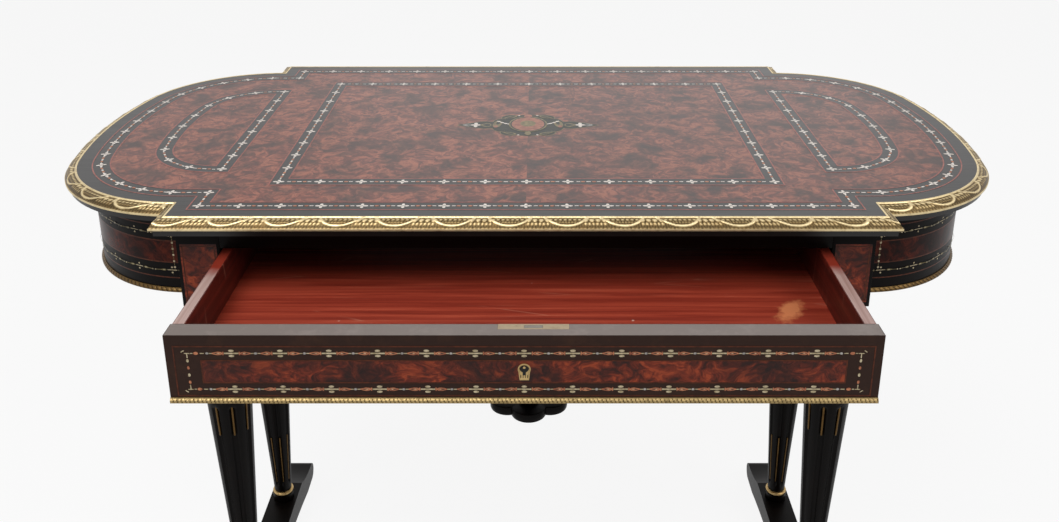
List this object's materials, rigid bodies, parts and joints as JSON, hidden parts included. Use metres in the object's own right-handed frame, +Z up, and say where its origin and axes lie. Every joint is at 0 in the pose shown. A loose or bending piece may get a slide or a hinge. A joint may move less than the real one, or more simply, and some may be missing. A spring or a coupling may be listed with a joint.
{
  "type": "writing table",
  "caption": "Inlaid writing table with a stepped centre, D-shaped ends, a metal edge, a frieze drawer and twin turned columns at each end.",
  "frame": {"origin": "middle of the bounding box on the floor, with the drawer open as at rest", "axes": "+X along the length to the sitter's right, -Y out of the drawer front, +Z up"},
  "size_m": [1.1938, 0.8004, 0.76],
  "materials": {
    "burr": "gloss burr veneer, dark red brown",
    "ebonised": "black polished wood",
    "mahogany": "satin red mahogany",
    "carcase": "plain dark stained softwood",
    "gilt": "old gilt brass",
    "steel": "dull steel",
    "inlay": "mixed inlay of metal, shell and dyed wood"
  },
  "bodies": {
    "table": {"back_base_moulding": "gilt", "back_edge_moulding": "gilt", "back_frieze": "burr", "back_left_block": "ebonised", "back_left_column": "ebonised", "back_left_column_metal": "gilt", "back_right_block": "ebonised", "back_right_column": "ebonised", "back_right_column_metal": "gilt", "border_banding": "ebonised", "cartouche": "inlay", "centre_veneer": "burr", "drawer_kickers": "carcase", "drawer_stops": "carcase", "front_bottom_rail": "ebonised", "front_edge_moulding": "gilt", "front_left_block": "ebonised", "front_left_column": "ebonised", "front_left_column_metal": "gilt", "front_right_block": "ebonised", "front_right_column": "ebonised", "front_right_column_metal": "gilt", "front_top_rail": "ebonised", "glides": "gilt", "left_base_moulding": "gilt", "left_cross_foot": "ebonised", "left_cross_rail": "ebonised", "left_drawer_runner": "carcase", "left_edge_moulding": "gilt", "left_end_bottom": "carcase", "left_end_frieze": "burr", "left_end_veneer": "burr", "left_side_rail": "carcase", "left_stretcher_pole": "ebonised", "lobed_drop": "ebonised", "right_base_moulding": "gilt", "right_cross_foot": "ebonised", "right_cross_rail": "ebonised", "right_drawer_runner": "carcase", "right_edge_moulding": "gilt", "right_end_bottom": "carcase", "right_end_frieze": "burr", "right_end_veneer": "burr", "right_side_rail": "carcase", "right_stretcher_pole": "ebonised", "stretcher_boss": "ebonised", "top_board": "carcase", "top_screws": "steel"},
    "drawer": {"drawer_front": "ebonised", "drawer_front_panel": "burr", "drawer_left_side": "mahogany", "drawer_right_side": "mahogany", "drawer_back": "mahogany", "drawer_bottom": "mahogany", "drawer_base_moulding": "gilt", "escutcheon": "gilt", "lock_case": "gilt", "lock_screws": "steel"},
    "bolt": {"lock_bolt": "steel"}
  },
  "joints": [
    {"name": "drawer_slide", "type": "slide", "parent": "table", "child": "drawer", "axis": [0, -1, 0], "range_m": [-0.189, 0.15]},
    {"name": "lock_bolt_slide", "type": "slide", "parent": "drawer", "child": "bolt", "axis": [0, 0, 1], "range_m": [0, 0.006]}
  ]
}
